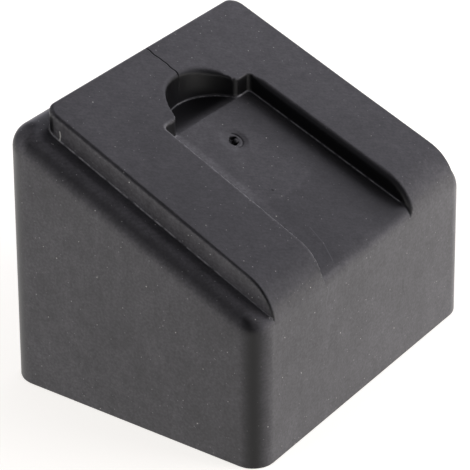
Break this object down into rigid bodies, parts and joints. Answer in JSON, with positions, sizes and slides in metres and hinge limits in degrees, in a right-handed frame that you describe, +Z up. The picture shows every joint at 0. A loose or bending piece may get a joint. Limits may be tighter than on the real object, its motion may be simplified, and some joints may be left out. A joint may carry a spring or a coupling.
{
  "type": "workbench foot",
  "caption": "Black rubber wedge foot for a folding workbench leg: sloping raised pad inside a rounded shoulder, with an open keyhole recess for the leg's fixing tongue.",
  "frame": {"origin": "middle of the flat base, on the surface that the foot stands on", "axes": "+Z up; +X across the width; -Y towards the low front side, where the channel is open; +Y towards the high back side"},
  "size_m": [0.046, 0.0372, 0.0362],
  "materials": {
    "rubber": "satin moulded black rubber"
  },
  "bodies": {
    "root": {"foot": "rubber"}
  },
  "joints": []
}
